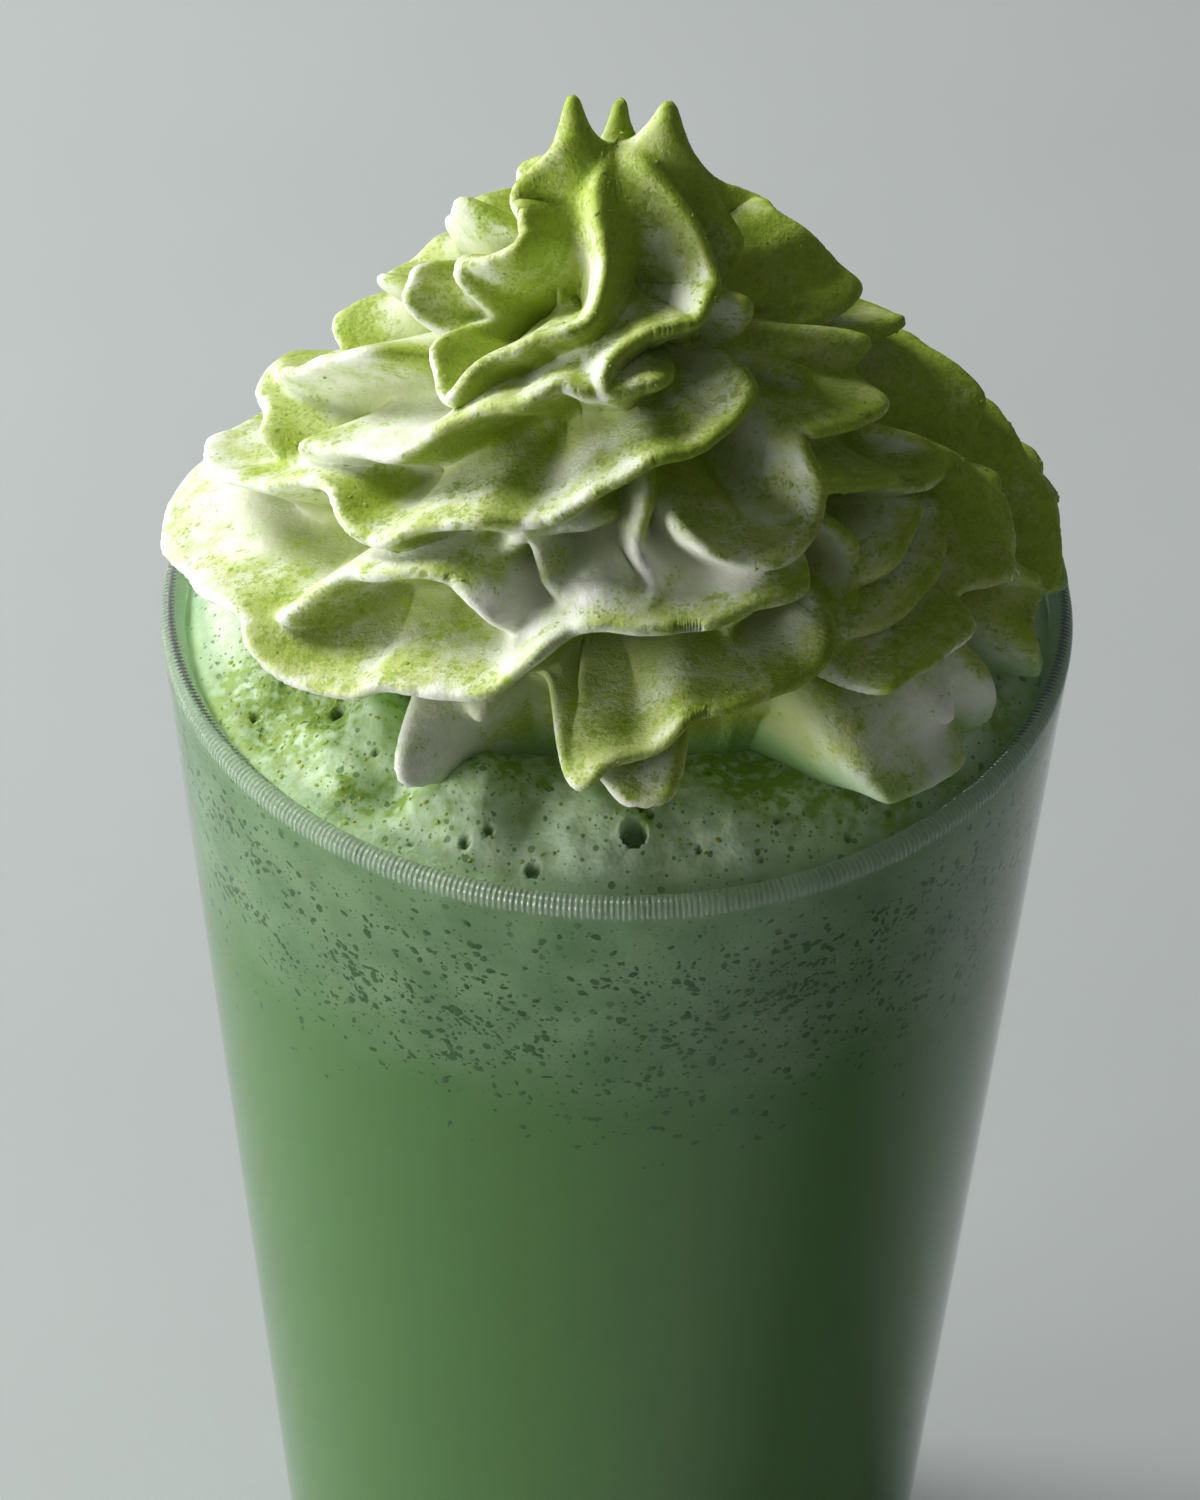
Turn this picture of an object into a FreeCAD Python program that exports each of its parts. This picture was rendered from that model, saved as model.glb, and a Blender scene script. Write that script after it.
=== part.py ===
"""A mint milkshake in a tall conical glass, topped with piped whipped cream.

The glass is a pressed tumbler with a straight flare, a heavy base and a fire-polished rim.
It holds the drink, and the froth that has settled out on top of the drink.
The cream is one spiral of star-nozzle piping that stands on the froth, with its foot inside the glass,
its belly out over the rim, and three pulled-up peaks where the nozzle was lifted away.

Millimetres. +Z is up, and the origin is the centre of the glass's foot, on the table.
"""
import FreeCAD
import Part
import math
import os

Vector = FreeCAD.Vector
AXIS_START = Vector(0, 0, 0)
UP = Vector(0, 0, 1)

# Glass
GLASS_HEIGHT = 150.0
RIM_RADIUS = 44.0
FOOT_RADIUS = 32.0
WALL = 2.2
BASE_THICKNESS = 9.0
FLOOR_CORNER = 7.0      # radius where the inner wall turns into the floor
FOOT_ROUND = 2.0        # radius round the outside of the foot
FOOT_RING = 6.0         # width of the flat ring that the glass stands on
PUNT_DEPTH = 1.5        # hollow under the base, inside that ring

# Drink and froth
FROTH_DEPTH = 25.0      # froth seen through the wall, from the rim down
FROTH_EDGE_DROP = 0.8   # the froth meets the wall this far below the rim's rounding
FROTH_RISE = 5.4        # from the froth's edge up to the level that the cream stands on

# Whipped cream
CREAM_HEIGHT = 60.0     # from the rim to the highest peak
FOOT_CLEARANCE = 11.5   # between the cream's foot and the inside of the rim
BELLY_INSET = 0.6       # the widest ridge stays this far inside the rim's outer radius
BELLY_HEIGHT = 9.0      # of the widest place, above the rim
CONE_CURVE = 1.55       # 1 is a straight cone, more is a rounder one
RIDGES = 6              # ridges left by the nozzle's teeth, each running from foot to tip
RIDGE_START = 115.0     # azimuth in degrees at which the first ridge leaves the foot
RIDGE_TWIST = 430.0     # degrees that a ridge winds round between foot and tip
RUFFLES = 9.0           # waves along a ridge between foot and tip
RUFFLE_SHIFT = 2        # waves by which the ruffles shift in going once round from ridge to ridge
RUFFLE_SWAY = 8.0       # degrees that a wave carries the ridge to each side
RUFFLE_DEPTH = 2.4      # from the outermost place of a wave to its innermost
TURNS = 3.5             # turns of the piped rope
TURN_START = 20.0       # azimuth in degrees at which the rope's first turn starts
TURN_GROOVE = 2.2       # depth of the groove where one turn lies on the turn below
FURROW_DEPTH = 7.5      # from a ridge in to the bottom of its furrow, at the belly
TIP_FURROW_DEPTH = 3.2  # the same, at the tip
FURROW_LIFT = 3.6       # the furrow's bottom is tucked this far up under the ridge above it
FURROW_SKEW = 0.8       # 1 is a furrow midway between ridges, less puts it under the ridge above
PEAKS = 3               # peaks left where the nozzle was lifted away
PEAK_START = -70.0      # azimuth in degrees of the first peak
PEAK_RING = 4.8         # radius of the ring that the peaks stand on
PEAK_WIDTH = 2.4        # spread of a peak to each side
PEAK_RISE = 7.5         # height of a peak above the dimple between them
PEAK_ROUNDING = 1.8     # the smooth surface ends this far below the control point on top of a peak
DIMPLE_RADIUS = 1.2     # of the small flat in that dimple

# How closely the cream's surface is spanned by its control points
POLES_UNDER_BELLY = 7
POLES_OVER_BELLY = 38
POLES_ACROSS_FURROW = 9
SURFACE_DEGREE = 3


def revolved(edges):
    """The solid that a closed outline of edges in the XZ plane sweeps out round the Z axis."""
    face = Part.Face(Part.Wire(edges))
    return face.revolve(AXIS_START, UP, 360.0)


def line(start, end):
    return Part.LineSegment(Vector(start[0], 0, start[1]), Vector(end[0], 0, end[1])).toShape()


def arc(start, middle, end):
    points = [Vector(p[0], 0, p[1]) for p in (start, middle, end)]
    return Part.Arc(*points).toShape()


def tangent_arc(start, corner, end, radius):
    """Ends of the fillet of that radius at a corner, and the point halfway along it."""
    to_start = Vector(start[0] - corner[0], 0, start[1] - corner[1]).normalize()
    to_end = Vector(end[0] - corner[0], 0, end[1] - corner[1]).normalize()
    half_angle = to_start.getAngle(to_end) / 2
    along = radius / math.tan(half_angle)
    bisector = (to_start + to_end).normalize()
    to_middle = radius / math.sin(half_angle) - radius
    where = Vector(corner[0], 0, corner[1])
    first, middle, last = where + to_start * along, where + bisector * to_middle, where + to_end * along
    return (first.x, first.z), (middle.x, middle.z), (last.x, last.z)


def flare():
    """Growth of the glass's radius for each millimetre of height."""
    return (RIM_RADIUS - FOOT_RADIUS) / GLASS_HEIGHT


def wall_offset():
    """The wall's thickness, measured level instead of square to the flared wall."""
    return WALL * math.hypot(1.0, flare())


def inner_radius(height):
    """Radius of the inside of the glass at a height above the table."""
    return FOOT_RADIUS + flare() * height - wall_offset()


def glass():
    rim_round = WALL / 2
    rim_start = GLASS_HEIGHT - rim_round
    outer_top = (FOOT_RADIUS + flare() * rim_start, rim_start)
    inner_top = (inner_radius(rim_start), rim_start)
    rim_crest = ((outer_top[0] + inner_top[0]) / 2, GLASS_HEIGHT)
    floor_corner = (inner_radius(BASE_THICKNESS), BASE_THICKNESS)
    floor_centre = (0.0, BASE_THICKNESS)
    wall_end, floor_turn, floor_start = tangent_arc(inner_top, floor_corner, floor_centre, FLOOR_CORNER)
    foot_corner = (FOOT_RADIUS, 0.0)
    ring_inside = (FOOT_RADIUS - FOOT_ROUND - FOOT_RING, 0.0)
    ring_outside, foot_turn, side_start = tangent_arc(ring_inside, foot_corner, outer_top, FOOT_ROUND)
    punt_centre = (0.0, PUNT_DEPTH)
    punt_side = (ring_inside[0] * math.sqrt(0.5), PUNT_DEPTH / 2)
    return revolved([
        arc(punt_centre, punt_side, ring_inside),
        line(ring_inside, ring_outside),
        arc(ring_outside, foot_turn, side_start),
        line(side_start, outer_top),
        arc(outer_top, rim_crest, inner_top),
        line(inner_top, wall_end),
        arc(wall_end, floor_turn, floor_start),
        line(floor_start, floor_centre),
        line(floor_centre, punt_centre),
    ])


def milkshake():
    """The drink, from the floor of the glass up to the underside of the froth."""
    level = GLASS_HEIGHT - FROTH_DEPTH
    surface_edge = (inner_radius(level), level)
    floor_corner = (inner_radius(BASE_THICKNESS), BASE_THICKNESS)
    floor_centre = (0.0, BASE_THICKNESS)
    wall_end, floor_turn, floor_start = tangent_arc(surface_edge, floor_corner, floor_centre, FLOOR_CORNER)
    surface_centre = (0.0, level)
    return revolved([
        line(floor_centre, floor_start),
        arc(floor_start, floor_turn, wall_end),
        line(wall_end, surface_edge),
        line(surface_edge, surface_centre),
        line(surface_centre, floor_centre),
    ])


def froth_edge_height():
    return GLASS_HEIGHT - FROTH_EDGE_DROP - WALL / 2


def cream_foot():
    """Radius and height of the ring on which the cream stands."""
    return inner_radius(GLASS_HEIGHT) - FOOT_CLEARANCE, froth_edge_height() + FROTH_RISE


def froth():
    """The froth, from the drink up to the flat under the cream, with a bulging rise just inside the wall."""
    level, edge_height = GLASS_HEIGHT - FROTH_DEPTH, froth_edge_height()
    edge = (inner_radius(edge_height), edge_height)
    foot_radius, foot_height = cream_foot()
    bulge_width, bulge_height = edge[0] - foot_radius, foot_height - edge[1]
    bulge = (foot_radius + bulge_width * 0.6, edge[1] + bulge_height * 0.7)
    return revolved([
        line((0.0, level), (inner_radius(level), level)),
        line((inner_radius(level), level), edge),
        arc(edge, bulge, (foot_radius, foot_height)),
        line((foot_radius, foot_height), (0.0, foot_height)),
        line((0.0, foot_height), (0.0, level)),
    ])


def cream_outline():
    """Radius and height of the cream's outline over its ridges, from the foot to the tip."""
    foot_radius, foot_height = cream_foot()
    belly_radius = RIM_RADIUS - BELLY_INSET
    belly_height = GLASS_HEIGHT + BELLY_HEIGHT
    dimple_height = GLASS_HEIGHT + CREAM_HEIGHT - PEAK_RISE
    outline = []
    for step in range(POLES_UNDER_BELLY):
        share = step / POLES_UNDER_BELLY
        radius = foot_radius + (belly_radius - foot_radius) * math.sin(share * math.pi / 2)
        outline.append((radius, foot_height + (belly_height - foot_height) * share))
    for step in range(POLES_OVER_BELLY + 1):
        share = math.sin(step / POLES_OVER_BELLY * math.pi / 2)
        radius = DIMPLE_RADIUS + (belly_radius - DIMPLE_RADIUS) * (1 - share ** CONE_CURVE)
        outline.append((radius, belly_height + (dimple_height - belly_height) * share))
    return outline


def outward(outline, place):
    """The direction square to the outline at one of its points, away from the cream."""
    before = outline[max(place - 1, 0)]
    after = outline[min(place + 1, len(outline) - 1)]
    run, rise = after[0] - before[0], after[1] - before[1]
    length = math.hypot(run, rise)
    return rise / length, -run / length


def share_along_ridge(climb):
    """Share of a ridge's length that lies below a share of the climb. It winds in, so the share grows slower."""
    power = CONE_CURVE + 1
    return (climb - climb ** power / power) / (1 - 1 / power)


def groove(climb, azimuth):
    """From 0 on the middle of the rope to 1 in the groove between two turns of it."""
    turn = TURNS * climb - (azimuth - TURN_START) / 360.0
    return math.cos(math.pi * turn) ** 4


def peak(radius, azimuth):
    """From 0 away from the peaks to 1 on top of one."""
    spacing = 360.0 / PEAKS
    beside = (azimuth - PEAK_START + spacing / 2) % spacing - spacing / 2
    across = PEAK_RING * math.radians(beside)
    return math.exp(-((radius - PEAK_RING) ** 2 + across ** 2) / PEAK_WIDTH ** 2)


def cream_point(outline, place, ridge):
    """A control point at a place on the outline, on a whole-numbered ridge or part of the way to the next."""
    (foot_radius, foot_height), (dimple_radius, dimple_height) = outline[0], outline[-1]
    radius, height = outline[place]
    climb = (height - foot_height) / (dimple_height - foot_height)
    azimuth = RIDGE_START + RIDGE_TWIST * climb + 360.0 / RIDGES * ridge
    wave = 2 * math.pi * (RUFFLES * share_along_ridge(climb) + RUFFLE_SHIFT * ridge / RIDGES)
    azimuth += RUFFLE_SWAY * math.sin(wave)
    furrow = math.sin(math.pi * (ridge % 1.0) ** FURROW_SKEW)
    fade = min(1.0, (radius - dimple_radius) / PEAK_RING)
    inward = furrow * (FURROW_DEPTH + (TIP_FURROW_DEPTH - FURROW_DEPTH) * climb)
    inward += TURN_GROOVE * groove(climb, azimuth) + RUFFLE_DEPTH * (0.5 - 0.5 * math.cos(wave))
    inward *= fade
    out, up = outward(outline, place)
    lift = FURROW_LIFT * furrow * fade * math.sin(math.pi * climb) ** 0.5
    if 0 < place < len(outline) - 1:
        peak_height = dimple_height + PEAK_RISE + PEAK_ROUNDING
        height += lift - inward * up + (peak_height - height) * peak(radius, azimuth)
    radius -= inward * out
    angle = math.radians(azimuth - 90.0)
    return Vector(radius * math.cos(angle), radius * math.sin(angle), height)


def clamped_knots(poles):
    """Knots and multiplicities of a B-spline that starts on its first pole and ends on its last."""
    spans = poles - SURFACE_DEGREE
    return list(range(spans + 1)), [SURFACE_DEGREE + 1] + [1] * (spans - 1) + [SURFACE_DEGREE + 1]


def furrow_face(outline, ridge):
    """The face from one ridge to the next, all the way up. Its two long edges are the sharp ridges."""
    poles = []
    for step in range(POLES_ACROSS_FURROW):
        across = ridge + step / (POLES_ACROSS_FURROW - 1)
        poles.append([cream_point(outline, place, across) for place in range(len(outline))])
    across_knots, across_counts = clamped_knots(POLES_ACROSS_FURROW)
    up_knots, up_counts = clamped_knots(len(outline))
    surface = Part.BSplineSurface()
    surface.buildFromPolesMultsKnots(
        poles, across_counts, up_counts, across_knots, up_knots,
        False, False, SURFACE_DEGREE, SURFACE_DEGREE)
    return surface.toShape()


def level_edges(faces, height):
    """The edges of the faces that lie flat at a height."""
    return [edge for face in faces for edge in face.Edges
            if abs(edge.BoundBox.ZMin - height) < 1e-4 and abs(edge.BoundBox.ZMax - height) < 1e-4]


def whipped_cream():
    outline = cream_outline()
    faces = [furrow_face(outline, ridge) for ridge in range(RIDGES)]
    for height in (outline[0][1], outline[-1][1]):
        rim = Part.Wire(Part.__sortEdges__(level_edges(faces, height)))
        faces.append(Part.Face(rim))
    shell = Part.makeShell(faces)
    shell.sewShape()
    return Part.makeSolid(shell)


def save(name, solid):
    solid.exportStep("parts/" + name + ".step")
    box = solid.BoundBox
    print(f"{name}: valid {solid.isValid()}, volume {solid.Volume / 1000:.1f} ml, "
          f"{len(solid.Faces)} faces, height {box.ZMin:.1f} to {box.ZMax:.1f}")


os.makedirs("parts", exist_ok=True)
save("glass", glass())
save("milkshake", milkshake())
save("froth", froth())
save("whipped_cream", whipped_cream())
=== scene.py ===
import bpy
import math
import numpy as np
from mathutils import Matrix, Vector, noise
from mathutils.bvhtree import BVHTree


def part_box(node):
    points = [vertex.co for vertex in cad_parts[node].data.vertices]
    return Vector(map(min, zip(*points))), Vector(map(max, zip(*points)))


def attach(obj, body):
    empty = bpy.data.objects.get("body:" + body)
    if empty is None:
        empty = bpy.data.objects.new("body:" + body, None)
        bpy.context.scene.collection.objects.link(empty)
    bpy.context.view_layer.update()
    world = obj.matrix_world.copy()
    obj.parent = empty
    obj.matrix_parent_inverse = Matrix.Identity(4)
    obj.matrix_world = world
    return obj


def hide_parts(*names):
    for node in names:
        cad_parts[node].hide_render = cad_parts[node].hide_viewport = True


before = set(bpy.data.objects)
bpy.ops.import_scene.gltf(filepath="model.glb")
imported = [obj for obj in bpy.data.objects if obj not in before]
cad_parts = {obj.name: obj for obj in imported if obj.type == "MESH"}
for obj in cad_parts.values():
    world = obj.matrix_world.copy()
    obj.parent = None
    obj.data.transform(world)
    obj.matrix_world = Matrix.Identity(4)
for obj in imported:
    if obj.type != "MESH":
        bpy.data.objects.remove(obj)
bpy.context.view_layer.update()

MM = 0.001


# ---- Glass ---------------------------------------------------------------------------------
# A straight-sided pint tumbler pressed in clear soda-lime glass, with a heavy base.
# Its rim was melted round in a flame, and fine drawn lines still cross the rim from inside to outside.
GLASS_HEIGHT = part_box("glass")[1].z
RIM_RADIUS = 44.0 * MM
FOOT_RADIUS = 32.0 * MM
WALL = 2.2 * MM
BASE_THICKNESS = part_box("milkshake")[0].z
FLOOR_CORNER = 7.0 * MM
FOOT_ROUND = 2.0 * MM
FOOT_RING = 6.0 * MM
PUNT_DEPTH = 1.5 * MM
FLARE = (RIM_RADIUS - FOOT_RADIUS) / GLASS_HEIGHT
RIM_LINE_SPACING = 0.55 * MM


def inner_radius(height):
    return FOOT_RADIUS + FLARE * height - WALL * math.hypot(1.0, FLARE)


def arc(centre, radius, start, end, steps):
    """Points of an arc about a centre, by angles in degrees from outward, turning towards up."""
    angles = [math.radians(start + (end - start) * step / steps) for step in range(steps + 1)]
    return [(centre[0] + radius * math.cos(a), centre[1] + radius * math.sin(a)) for a in angles]


def lathe(name, outline, segments):
    """A closed mesh turned from an outline of radii and heights that starts and ends on the axis."""
    verts = [(0.0, 0.0, outline[0][1])]
    rings = outline[1:-1]
    for radius, height in rings:
        for step in range(segments):
            angle = 2 * math.pi * step / segments
            verts.append((radius * math.cos(angle), radius * math.sin(angle), height))
    verts.append((0.0, 0.0, outline[-1][1]))
    top = len(verts) - 1
    faces = []
    for step in range(segments):
        beside = (step + 1) % segments
        faces.append((0, 1 + beside, 1 + step))
        for ring in range(len(rings) - 1):
            low, high = 1 + ring * segments, 1 + (ring + 1) * segments
            faces.append((low + step, low + beside, high + beside, high + step))
        last = 1 + (len(rings) - 1) * segments
        faces.append((last + step, last + beside, top))
    return mesh_piece(name, verts, faces)


def mesh_piece(name, verts, faces, sharp_from=75):
    """An object at the origin made of vertices and faces, smooth but for corners sharper than so many degrees."""
    mesh = bpy.data.meshes.new(name)
    mesh.from_pydata(verts, [], faces)
    mesh.shade_smooth()
    mesh.set_sharp_from_angle(angle=math.radians(sharp_from))
    made = bpy.data.objects.new(name, mesh)
    bpy.context.scene.collection.objects.link(made)
    return made


def linear(hex_colour):
    """A linear colour from an sRGB hex value."""
    shares = [int(hex_colour[place:place + 2], 16) / 255 for place in (1, 3, 5)]
    return [s / 12.92 if s <= 0.04045 else ((s + 0.055) / 1.055) ** 2.4 for s in shares] + [1.0]


def add(tree, kind, settings=None, inputs=None):
    """A node with its settings, and its inputs set to values or linked from sockets."""
    made = tree.nodes.new(kind)
    for setting, value in (settings or {}).items():
        setattr(made, setting, value)
    for socket, value in (inputs or {}).items():
        if isinstance(value, bpy.types.NodeSocket):
            tree.links.new(value, made.inputs[socket])
        else:
            made.inputs[socket].default_value = value
    return made


def new_material(name):
    """A material with its node tree and its shader, ready for the shader's own sockets to be set."""
    material = bpy.data.materials.new(name)
    material.use_nodes = True
    return material, material.node_tree, material.node_tree.nodes["Principled BSDF"]


def set_inputs(shader, values):
    for socket, value in values.items():
        shader.inputs[socket].default_value = value


def object_coords(tree):
    return add(tree, "ShaderNodeTexCoord").outputs["Object"]


def kept_share(tree, name):
    """A share that set_share kept on the vertices."""
    return add(tree, "ShaderNodeAttribute", {"attribute_name": name}).outputs["Fac"]


def calc(tree, operation, *values):
    """What an operation makes of numbers or sockets."""
    return add(tree, "ShaderNodeMath", {"operation": operation}, dict(enumerate(values))).outputs[0]


def rescale(tree, value, low, high, to_low=0.0, to_high=1.0, **settings):
    """A value carried over from one range to another, and held within it."""
    return add(tree, "ShaderNodeMapRange", settings, {
        "Value": value, "From Min": low, "From Max": high, "To Min": to_low, "To Max": to_high}).outputs[0]


def clouds(tree, coords, size, detail, roughness=0.5):
    """Cloudy noise of a size in metres."""
    return add(tree, "ShaderNodeTexNoise", None, {
        "Vector": coords, "Scale": 1 / size, "Detail": detail, "Roughness": roughness}).outputs[0]


def mix(tree, share, first, second):
    """A colour mixed from two colours by a share."""
    made = add(tree, "ShaderNodeMix", {"data_type": "RGBA"}, {0: share, 6: first, 7: second})
    return made.outputs[2]


def tinted(name, size, detail, first, second, roughness):
    """A matt material that drifts between two colours in clouds of a size in metres."""
    material, tree, shader = new_material(name)
    tone = clouds(tree, object_coords(tree), size, detail)
    tree.links.new(mix(tree, tone, linear(first), linear(second)), shader.inputs["Base Color"])
    shader.inputs["Roughness"].default_value = roughness
    return material


# The outline runs from the punt under the base, round the foot, up the side, over the rim and down the bore.
rim_round = WALL / 2
rim_centre = (RIM_RADIUS - FLARE * rim_round - rim_round, GLASS_HEIGHT - rim_round)
ring_inside = FOOT_RADIUS - FOOT_ROUND - FOOT_RING
floor_round_centre = (inner_radius(BASE_THICKNESS + FLOOR_CORNER) - FLOOR_CORNER, BASE_THICKNESS + FLOOR_CORNER)
punt = [(ring_inside * share / 6, PUNT_DEPTH * (1 - (share / 6) ** 2)) for share in range(6)]
foot = arc((FOOT_RADIUS - FOOT_ROUND, FOOT_ROUND), FOOT_ROUND, -90, -4, 8)
side = [(FOOT_RADIUS + FLARE * GLASS_HEIGHT * share / 24, GLASS_HEIGHT * share / 24) for share in range(1, 24)]
rim = arc(rim_centre, rim_round, 0, 180, 16)
inside = [(inner_radius(GLASS_HEIGHT * share / 24), GLASS_HEIGHT * share / 24) for share in range(23, 3, -1)]
floor_turn = arc(floor_round_centre, FLOOR_CORNER, 0, -90, 10)
glass = lathe("glass_tumbler", punt + [(ring_inside, 0.0)] + foot + side + rim + inside + floor_turn
              + [(0.0, BASE_THICKNESS)], 288)

# Soda-lime glass: colourless, faintly green where it is thick, with a hard clean gloss. The drawn lines on the rim
# catch the light one by one, and make it a little cloudy.
soda_lime, tree, shader = new_material("pressed_soda_lime_glass")
set_inputs(shader, {"Base Color": linear("#F6FBF8"), "IOR": 1.5})
place = add(tree, "ShaderNodeSeparateXYZ", None, {0: object_coords(tree)}).outputs
lines_round = round(2 * math.pi * RIM_RADIUS / RIM_LINE_SPACING)
turn = calc(tree, "MULTIPLY", calc(tree, "ARCTAN2", place["Y"], place["X"]), float(lines_round))
line = calc(tree, "SINE", turn)
on_rim = rescale(tree, place["Z"], GLASS_HEIGHT - 1.9 * MM, GLASS_HEIGHT - 1.4 * MM)
drawn = calc(tree, "MULTIPLY", line, on_rim)
ribs = add(tree, "ShaderNodeBump", None, {"Strength": 0.8, "Distance": 0.07 * MM, "Height": drawn})
cloudy = calc(tree, "MULTIPLY", calc(tree, "MULTIPLY_ADD", line, 0.07, 0.16), on_rim)
tree.links.new(calc(tree, "MULTIPLY_ADD", on_rim, 0.22, 0.02), shader.inputs["Roughness"])
tree.links.new(calc(tree, "SUBTRACT", 1.0, cloudy), shader.inputs["Transmission Weight"])
tree.links.new(ribs.outputs[0], shader.inputs["Normal"])
glass.data.materials.append(soda_lime)
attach(glass, "root")
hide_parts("glass")


# ---- Milkshake -----------------------------------------------------------------------------
# Milk, ice cream and mint blended to an opaque pale green, poured nearly to the brim.
# It wets the glass all over, so it is made a hair wider than the bore and no air shows between them.
WETTING = 0.15 * MM
froth_low, froth_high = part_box("froth")
FROTH_BASE = froth_low.z
FADE = 7.0 * MM         # half the height over which the froth gives way to the drink
CLOUD = 14 * MM         # size of the clouds in which they mix, and how far these carry the level up and down in all

# How milk and froth take the light: matt, and lit a little from within.
MILKY = {"Roughness": 0.55, "Subsurface Weight": 0.3, "Subsurface Radius": (1.0, 1.4, 0.9),
         "Subsurface Scale": 1.5 * MM}

drink_turn = arc(floor_round_centre, FLOOR_CORNER + WETTING, -90, 0, 10)
drink_side = [(inner_radius(BASE_THICKNESS + (FROTH_BASE - BASE_THICKNESS) * share / 24) + WETTING,
               BASE_THICKNESS + (FROTH_BASE - BASE_THICKNESS) * share / 24) for share in range(3, 25)]
milkshake = lathe("mint_milkshake", [(0.0, BASE_THICKNESS - WETTING)] + drink_turn + drink_side
                  + [(0.0, FROTH_BASE)], 192)


def mint_colour(tree):
    """Coordinates, the share of froth from 0 in the drink to 1 in the froth, and the colour of the two mixed."""
    coords = object_coords(tree)
    height = add(tree, "ShaderNodeSeparateXYZ", None, {0: coords}).outputs["Z"]
    drift = calc(tree, "MULTIPLY_ADD", clouds(tree, coords, CLOUD, 4.0), CLOUD, -CLOUD / 2)
    level = calc(tree, "ADD", height, drift)
    share = rescale(tree, level, FROTH_BASE - FADE, FROTH_BASE + FADE, interpolation_type="SMOOTHSTEP")
    tone = rescale(tree, clouds(tree, coords, 6 * MM, 5.0), 0.35, 0.65)
    pale = mix(tree, tone, linear("#7CA56B"), linear("#9CC089"))
    return coords, share, mix(tree, share, linear("#659B42"), pale)


# Mint milkshake: a fat-rich liquid that glows a little under its surface, even in colour, with no shine of its own.
drink, tree, shader = new_material("mint_milkshake")
_, _, colour = mint_colour(tree)
tree.links.new(colour, shader.inputs["Base Color"])
set_inputs(shader, MILKY)
milkshake.data.materials.append(drink)
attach(milkshake, "root")
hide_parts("milkshake")


# ---- Froth ---------------------------------------------------------------------------------
# The blender's foam, risen to the top as a stiff pale head, lumpy where the cream was piped into it.
# Burst bubbles leave round pits in it, green powder stains it, and dark flecks of mint are held in it.
FROTH_EDGE = GLASS_HEIGHT - 1.9 * MM    # where the froth meets the wall
FROTH_SEAT = froth_high.z               # where it meets the cream
CREAM_FOOT = 30.0 * MM
FINE_OUT_FROM = 27 * MM     # the froth is hidden under the cream inside this radius, and its mesh is coarse there
LUMP = 1.1 * MM             # height of the froth's lumps
FINE_LUMP = 0.3             # height of the finer ones on them, as a share of that
PIT_DEPTH = 1.2             # depth of a burst bubble's pit as a share of its radius
PIT_LIP = 0.12 * MM         # height of the lip round it
BIG_PITS = [            # azimuth in degrees from the front towards the right, radius from the axis, pit radius
    (2.9, 36.5, 1.3), (-10.8, 39.4, 0.8), (-52.6, 32.7, 0.9), (4.1, 34.3, 0.35), (5.5, 34.9, 0.4),
    (-20.6, 38.8, 0.6), (-17.9, 37.5, 0.5), (12.0, 37.8, 0.35), (20.0, 39.5, 0.3), (-40.7, 34.1, 0.4),
    (33.0, 39.6, 0.45), (-62.0, 38.5, 0.5), (75.0, 40.0, 0.4), (-95.0, 39.0, 0.6), (140.0, 39.0, 0.9),
    (175.0, 38.0, 0.6), (-150.0, 39.5, 0.8), (110.0, 38.5, 0.5), (-28.0, 39.8, 0.3), (24.0, 36.5, 0.35)]
HOLLOWS = [             # the same, for soft hollows and rises: azimuth, radius, width, depth
    (-34.6, 36.5, 2.3, 2.0), (-53.0, 32.7, 2.6, 1.4), (-60.0, 36.5, 4.5, 0.9), (-13.0, 35.0, 2.4, 1.0),
    (24.0, 31.0, 3.5, 1.4), (-21.0, 33.6, 3.8, -2.2), (-29.5, 36.6, 1.5, -0.8), (-42.0, 39.3, 2.6, -0.8),
    (-47.0, 30.6, 2.2, -1.8), (6.0, 36.0, 4.5, -0.7), (19.0, 37.5, 3.6, -0.7), (38.0, 38.0, 4.0, -0.7)]
STAINS = [              # where powder lies thick on the froth: azimuth, radius, width, strength
    (-34.6, 36.5, 2.4, 0.9), (-40.0, 38.8, 2.4, 0.8), (-22.0, 31.5, 3.0, 0.5), (-24.0, 38.5, 2.0, 0.4),
    (25.0, 32.5, 3.5, 0.9), (19.0, 29.5, 3.0, 0.9), (42.0, 39.6, 2.2, 1.0), (36.0, 37.0, 3.0, 0.8),
    # the two at -66 and -57 degrees are partly real stain, partly painted shadow of the cream's lip
    (-66.0, 38.7, 4.0, 1.4), (-57.0, 36.8, 6.0, 1.3), (29.0, 36.5, 3.0, 0.5), (4.0, 34.5, 2.0, 0.4),
    (52.0, 40.6, 2.0, 0.9), (66.0, 39.5, 3.0, 0.7), (120.0, 36.0, 5.0, 0.6), (-130.0, 36.0, 5.0, 0.6)]
FROTH_COLUMNS = 900
WALL_ROWS = 30
TOP_ROWS = 54
FRONT_CROWDING = 0.3    # columns are this share closer together at the front than on average


def column_azimuths(count):
    """Azimuths in radians from the front, round to the right, closer together at the front."""
    even = 2 * math.pi * np.arange(count) / count
    return even - FRONT_CROWDING * np.sin(even)


def around(azimuth, radius):
    """X and Y of places at azimuths from the front and radii from the axis."""
    return radius * np.sin(azimuth), -radius * np.cos(azimuth)


def turbulence(x, y, z, size, seed):
    """Smooth noise from -1 to 1 at points, with features of a size."""
    shift = Vector((seed * 13.7, seed * 7.3, seed * 3.1))
    spots = zip(x.ravel() / size, y.ravel() / size, z.ravel() / size)
    return np.array([noise.noise(Vector(spot) + shift) for spot in spots]).reshape(x.shape)


def smoothstep(value, low, high):
    share = np.clip((value - low) / (high - low), 0, 1)
    return share * share * (3 - 2 * share)


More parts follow.
